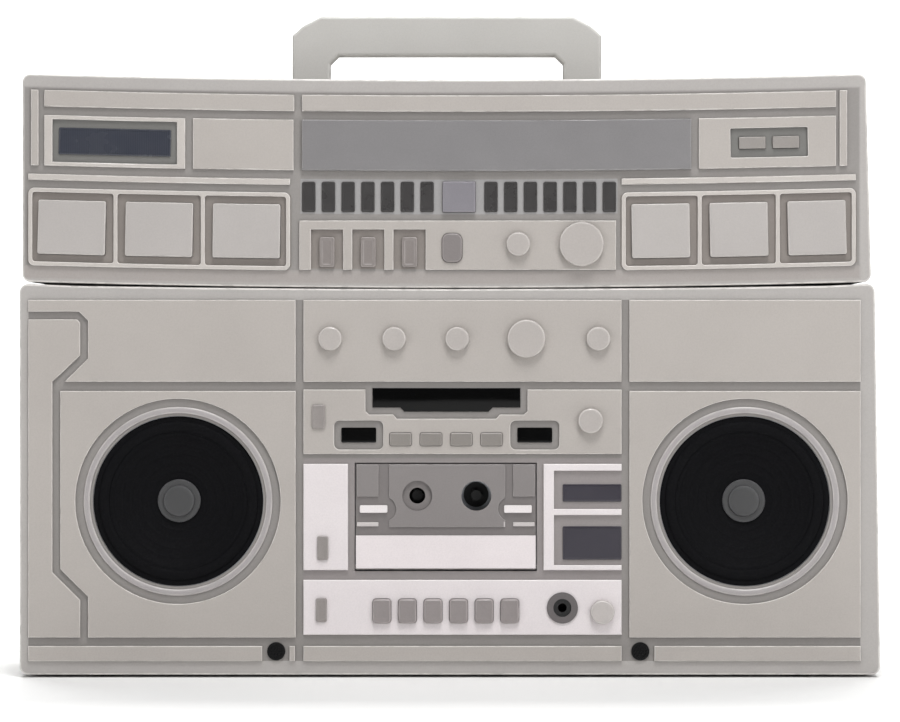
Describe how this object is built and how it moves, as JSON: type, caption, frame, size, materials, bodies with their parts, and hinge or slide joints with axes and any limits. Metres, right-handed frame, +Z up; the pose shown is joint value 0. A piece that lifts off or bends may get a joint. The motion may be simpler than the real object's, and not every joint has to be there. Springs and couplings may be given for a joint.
{
  "type": "radio-cassette recorder",
  "caption": "Wide two-speaker radio-cassette recorder with a folding carrying handle, push keys, turning knobs, slide switches and a tilting cassette door.",
  "frame": {"origin": "on the table under the middle of the bounding box", "axes": "+X to the right across the front, +Y from the front to the back, +Z up; the front faces -Y"},
  "size_m": [0.6199, 0.158, 0.4811],
  "materials": {
    "cabinet_plastic": "soft-touch moulded, satin",
    "white_plastic": "moulded, satin",
    "grey_plastic": "moulded, satin",
    "dark_grey_plastic": "moulded",
    "key_grey": "moulded, satin",
    "lilac_grey": "moulded, satin",
    "dark_lens": "tinted, smooth",
    "dark_bar": "tinted, smooth",
    "black_cone": "treated cone",
    "black_plastic": "moulded",
    "steel": "zinc plated",
    "board": "laminate with solder mask",
    "rubber": "moulded"
  },
  "bodies": {
    "cabinet": {"upper_front_cabinet": "cabinet_plastic", "lower_front_cabinet": "cabinet_plastic", "rear_cabinet": "cabinet_plastic", "tuner_scale": "grey_plastic", "window_lenses": "dark_lens", "level_bars": "dark_bar", "deck_trim": "white_plastic", "speaker_rings": "cabinet_plastic", "speaker_cones": "black_cone", "speaker_caps": "grey_plastic", "speaker_frames": "steel", "deck_chassis": "steel", "deck_motor": "steel", "circuit_board": "board", "jack_sockets": "dark_grey_plastic", "microphones": "black_plastic", "rubber_feet": "rubber", "cabinet_screws": "steel"},
    "preset_key_1": {"preset_key_1": "cabinet_plastic"},
    "preset_key_2": {"preset_key_2": "cabinet_plastic"},
    "preset_key_3": {"preset_key_3": "cabinet_plastic"},
    "preset_key_4": {"preset_key_4": "cabinet_plastic"},
    "preset_key_5": {"preset_key_5": "cabinet_plastic"},
    "preset_key_6": {"preset_key_6": "cabinet_plastic"},
    "band_key": {"band_key": "lilac_grey"},
    "mode_button": {"mode_button": "key_grey"},
    "display_button_1": {"display_button_1": "key_grey"},
    "display_button_2": {"display_button_2": "key_grey"},
    "counter_button_1": {"counter_button_1": "cabinet_plastic"},
    "counter_button_2": {"counter_button_2": "cabinet_plastic"},
    "counter_button_3": {"counter_button_3": "cabinet_plastic"},
    "counter_button_4": {"counter_button_4": "cabinet_plastic"},
    "record_key": {"record_key": "key_grey"},
    "play_key": {"play_key": "key_grey"},
    "rewind_key": {"rewind_key": "key_grey"},
    "forward_key": {"forward_key": "key_grey"},
    "stop_key": {"stop_key": "key_grey"},
    "pause_key": {"pause_key": "key_grey"},
    "tone_lever_1": {"tone_lever_1": "key_grey"},
    "tone_lever_2": {"tone_lever_2": "key_grey"},
    "tone_lever_3": {"tone_lever_3": "key_grey"},
    "counter_switch": {"counter_switch": "key_grey"},
    "tape_switch": {"tape_switch": "key_grey"},
    "noise_switch": {"noise_switch": "key_grey"},
    "fine_tuning_knob": {"fine_tuning_knob": "cabinet_plastic"},
    "tuning_knob": {"tuning_knob": "cabinet_plastic"},
    "microphone_knob": {"microphone_knob": "cabinet_plastic"},
    "bass_knob": {"bass_knob": "cabinet_plastic"},
    "treble_knob": {"treble_knob": "cabinet_plastic"},
    "volume_knob": {"volume_knob": "cabinet_plastic"},
    "balance_knob": {"balance_knob": "cabinet_plastic"},
    "record_level_knob": {"record_level_knob": "cabinet_plastic"},
    "headphone_knob": {"headphone_knob": "cabinet_plastic"},
    "handle": {"handle": "cabinet_plastic"},
    "battery_cover": {"battery_cover": "cabinet_plastic"},
    "cassette_door": {"cassette_door": "white_plastic"},
    "supply_spindle": {"supply_spindle": "black_plastic"},
    "takeup_spindle": {"takeup_spindle": "black_plastic"},
    "capstan_flywheel": {"capstan_flywheel": "steel"},
    "head_bridge": {"head_bridge": "steel"}
  },
  "joints": [
    {"name": "preset_key_1_press", "type": "slide", "parent": "cabinet", "child": "preset_key_1", "axis": [0, 1, 0], "range_m": [0, 0.0025], "stiffness_N_per_m": 200},
    {"name": "preset_key_2_press", "type": "slide", "parent": "cabinet", "child": "preset_key_2", "axis": [0, 1, 0], "range_m": [0, 0.0025], "stiffness_N_per_m": 200},
    {"name": "preset_key_3_press", "type": "slide", "parent": "cabinet", "child": "preset_key_3", "axis": [0, 1, 0], "range_m": [0, 0.0025], "stiffness_N_per_m": 200},
    {"name": "preset_key_4_press", "type": "slide", "parent": "cabinet", "child": "preset_key_4", "axis": [0, 1, 0], "range_m": [0, 0.0025], "stiffness_N_per_m": 200},
    {"name": "preset_key_5_press", "type": "slide", "parent": "cabinet", "child": "preset_key_5", "axis": [0, 1, 0], "range_m": [0, 0.0025], "stiffness_N_per_m": 200},
    {"name": "preset_key_6_press", "type": "slide", "parent": "cabinet", "child": "preset_key_6", "axis": [0, 1, 0], "range_m": [0, 0.0025], "stiffness_N_per_m": 200},
    {"name": "band_key_press", "type": "slide", "parent": "cabinet", "child": "band_key", "axis": [0, 1, 0], "range_m": [0, 0.002], "stiffness_N_per_m": 200},
    {"name": "mode_button_press", "type": "slide", "parent": "cabinet", "child": "mode_button", "axis": [0, 1, 0], "range_m": [0, 0.0016], "stiffness_N_per_m": 200},
    {"name": "display_button_1_press", "type": "slide", "parent": "cabinet", "child": "display_button_1", "axis": [0, 1, 0], "range_m": [0, 0.001], "stiffness_N_per_m": 200},
    {"name": "display_button_2_press", "type": "slide", "parent": "cabinet", "child": "display_button_2", "axis": [0, 1, 0], "range_m": [0, 0.001], "stiffness_N_per_m": 200},
    {"name": "counter_button_1_press", "type": "slide", "parent": "cabinet", "child": "counter_button_1", "axis": [0, 1, 0], "range_m": [0, 0.0012], "stiffness_N_per_m": 200},
    {"name": "counter_button_2_press", "type": "slide", "parent": "cabinet", "child": "counter_button_2", "axis": [0, 1, 0], "range_m": [0, 0.0012], "stiffness_N_per_m": 200},
    {"name": "counter_button_3_press", "type": "slide", "parent": "cabinet", "child": "counter_button_3", "axis": [0, 1, 0], "range_m": [0, 0.0012], "stiffness_N_per_m": 200},
    {"name": "counter_button_4_press", "type": "slide", "parent": "cabinet", "child": "counter_button_4", "axis": [0, 1, 0], "range_m": [0, 0.0012], "stiffness_N_per_m": 200},
    {"name": "record_key_press", "type": "slide", "parent": "cabinet", "child": "record_key", "axis": [0, 1, 0], "range_m": [0, 0.003], "stiffness_N_per_m": 200},
    {"name": "play_key_press", "type": "slide", "parent": "cabinet", "child": "play_key", "axis": [0, 1, 0], "range_m": [0, 0.003], "stiffness_N_per_m": 200},
    {"name": "rewind_key_press", "type": "slide", "parent": "cabinet", "child": "rewind_key", "axis": [0, 1, 0], "range_m": [0, 0.003], "stiffness_N_per_m": 200},
    {"name": "forward_key_press", "type": "slide", "parent": "cabinet", "child": "forward_key", "axis": [0, 1, 0], "range_m": [0, 0.003], "stiffness_N_per_m": 200},
    {"name": "stop_key_press", "type": "slide", "parent": "cabinet", "child": "stop_key", "axis": [0, 1, 0], "range_m": [0, 0.003], "stiffness_N_per_m": 200},
    {"name": "pause_key_press", "type": "slide", "parent": "cabinet", "child": "pause_key", "axis": [0, 1, 0], "range_m": [0, 0.003], "stiffness_N_per_m": 200},
    {"name": "tone_lever_1_slide", "type": "slide", "parent": "cabinet", "child": "tone_lever_1", "axis": [0, 0, 1], "range_m": [0, 0.005]},
    {"name": "tone_lever_2_slide", "type": "slide", "parent": "cabinet", "child": "tone_lever_2", "axis": [0, 0, 1], "range_m": [0, 0.005]},
    {"name": "tone_lever_3_slide", "type": "slide", "parent": "cabinet", "child": "tone_lever_3", "axis": [0, 0, 1], "range_m": [0, 0.005]},
    {"name": "counter_switch_slide", "type": "slide", "parent": "cabinet", "child": "counter_switch", "axis": [0, 0, 1], "range_m": [-0.003, 0.003]},
    {"name": "tape_switch_slide", "type": "slide", "parent": "cabinet", "child": "tape_switch", "axis": [0, 0, 1], "range_m": [-0.003, 0.003]},
    {"name": "noise_switch_slide", "type": "slide", "parent": "cabinet", "child": "noise_switch", "axis": [0, 0, 1], "range_m": [-0.003, 0.003]},
    {"name": "fine_tuning_knob_turn", "type": "hinge", "parent": "cabinet", "child": "fine_tuning_knob", "pos_m": [0.049, -0.071, 0.31205], "axis": [0, -1, 0], "range_deg": [-150, 150]},
    {"name": "tuning_knob_turn", "type": "hinge", "parent": "cabinet", "child": "tuning_knob", "pos_m": [0.0945, -0.071, 0.31205], "axis": [0, -1, 0], "continuous": true},
    {"name": "microphone_knob_turn", "type": "hinge", "parent": "cabinet", "child": "microphone_knob", "pos_m": [-0.0862, -0.071, 0.244], "axis": [0, -1, 0], "range_deg": [-150, 150]},
    {"name": "bass_knob_turn", "type": "hinge", "parent": "cabinet", "child": "bass_knob", "pos_m": [-0.0402, -0.071, 0.244], "axis": [0, -1, 0], "range_deg": [-150, 150]},
    {"name": "treble_knob_turn", "type": "hinge", "parent": "cabinet", "child": "treble_knob", "pos_m": [0.0052, -0.071, 0.244], "axis": [0, -1, 0], "range_deg": [-150, 150]},
    {"name": "volume_knob_turn", "type": "hinge", "parent": "cabinet", "child": "volume_knob", "pos_m": [0.0549, -0.071, 0.244], "axis": [0, -1, 0], "range_deg": [-150, 150]},
    {"name": "balance_knob_turn", "type": "hinge", "parent": "cabinet", "child": "balance_knob", "pos_m": [0.1065, -0.071, 0.244], "axis": [0, -1, 0], "range_deg": [-150, 150]},
    {"name": "record_level_knob_turn", "type": "hinge", "parent": "cabinet", "child": "record_level_knob", "pos_m": [0.101, -0.071, 0.185], "axis": [0, -1, 0], "range_deg": [-150, 150]},
    {"name": "headphone_knob_turn", "type": "hinge", "parent": "cabinet", "child": "headphone_knob", "pos_m": [0.1095, -0.071, 0.04755], "axis": [0, -1, 0], "range_deg": [-150, 150]},
    {"name": "handle_fold", "type": "hinge", "parent": "cabinet", "child": "handle", "pos_m": [-0.0023, -0.012, 0.4198], "axis": [-1, 0, 0], "range_deg": [0, 90]},
    {"name": "battery_cover_hinge", "type": "hinge", "parent": "cabinet", "child": "battery_cover", "pos_m": [0, 0.0775, 0.02], "axis": [-1, 0, 0], "range_deg": [0, 85]},
    {"name": "cassette_door_hinge", "type": "hinge", "parent": "cabinet", "child": "cassette_door", "pos_m": [-0.0023, -0.0685, 0.08], "axis": [1, 0, 0], "range_deg": [0, 30]},
    {"name": "supply_spindle_spin", "type": "hinge", "parent": "cabinet", "child": "supply_spindle", "pos_m": [-0.02355, -0.047, 0.131], "axis": [0, -1, 0], "continuous": true},
    {"name": "takeup_spindle_spin", "type": "hinge", "parent": "cabinet", "child": "takeup_spindle", "pos_m": [0.01895, -0.047, 0.131], "axis": [0, -1, 0], "continuous": true},
    {"name": "capstan_spin", "type": "hinge", "parent": "cabinet", "child": "capstan_flywheel", "pos_m": [0.0167, -0.045, 0.104], "axis": [0, -1, 0], "continuous": true},
    {"name": "head_bridge_lift", "type": "slide", "parent": "cabinet", "child": "head_bridge", "axis": [0, 0, 1], "range_m": [0, 0.006]}
  ],
  "couplings": [
    {"joint": "head_bridge_lift", "follows": "play_key_press", "ratio": 2}
  ]
}
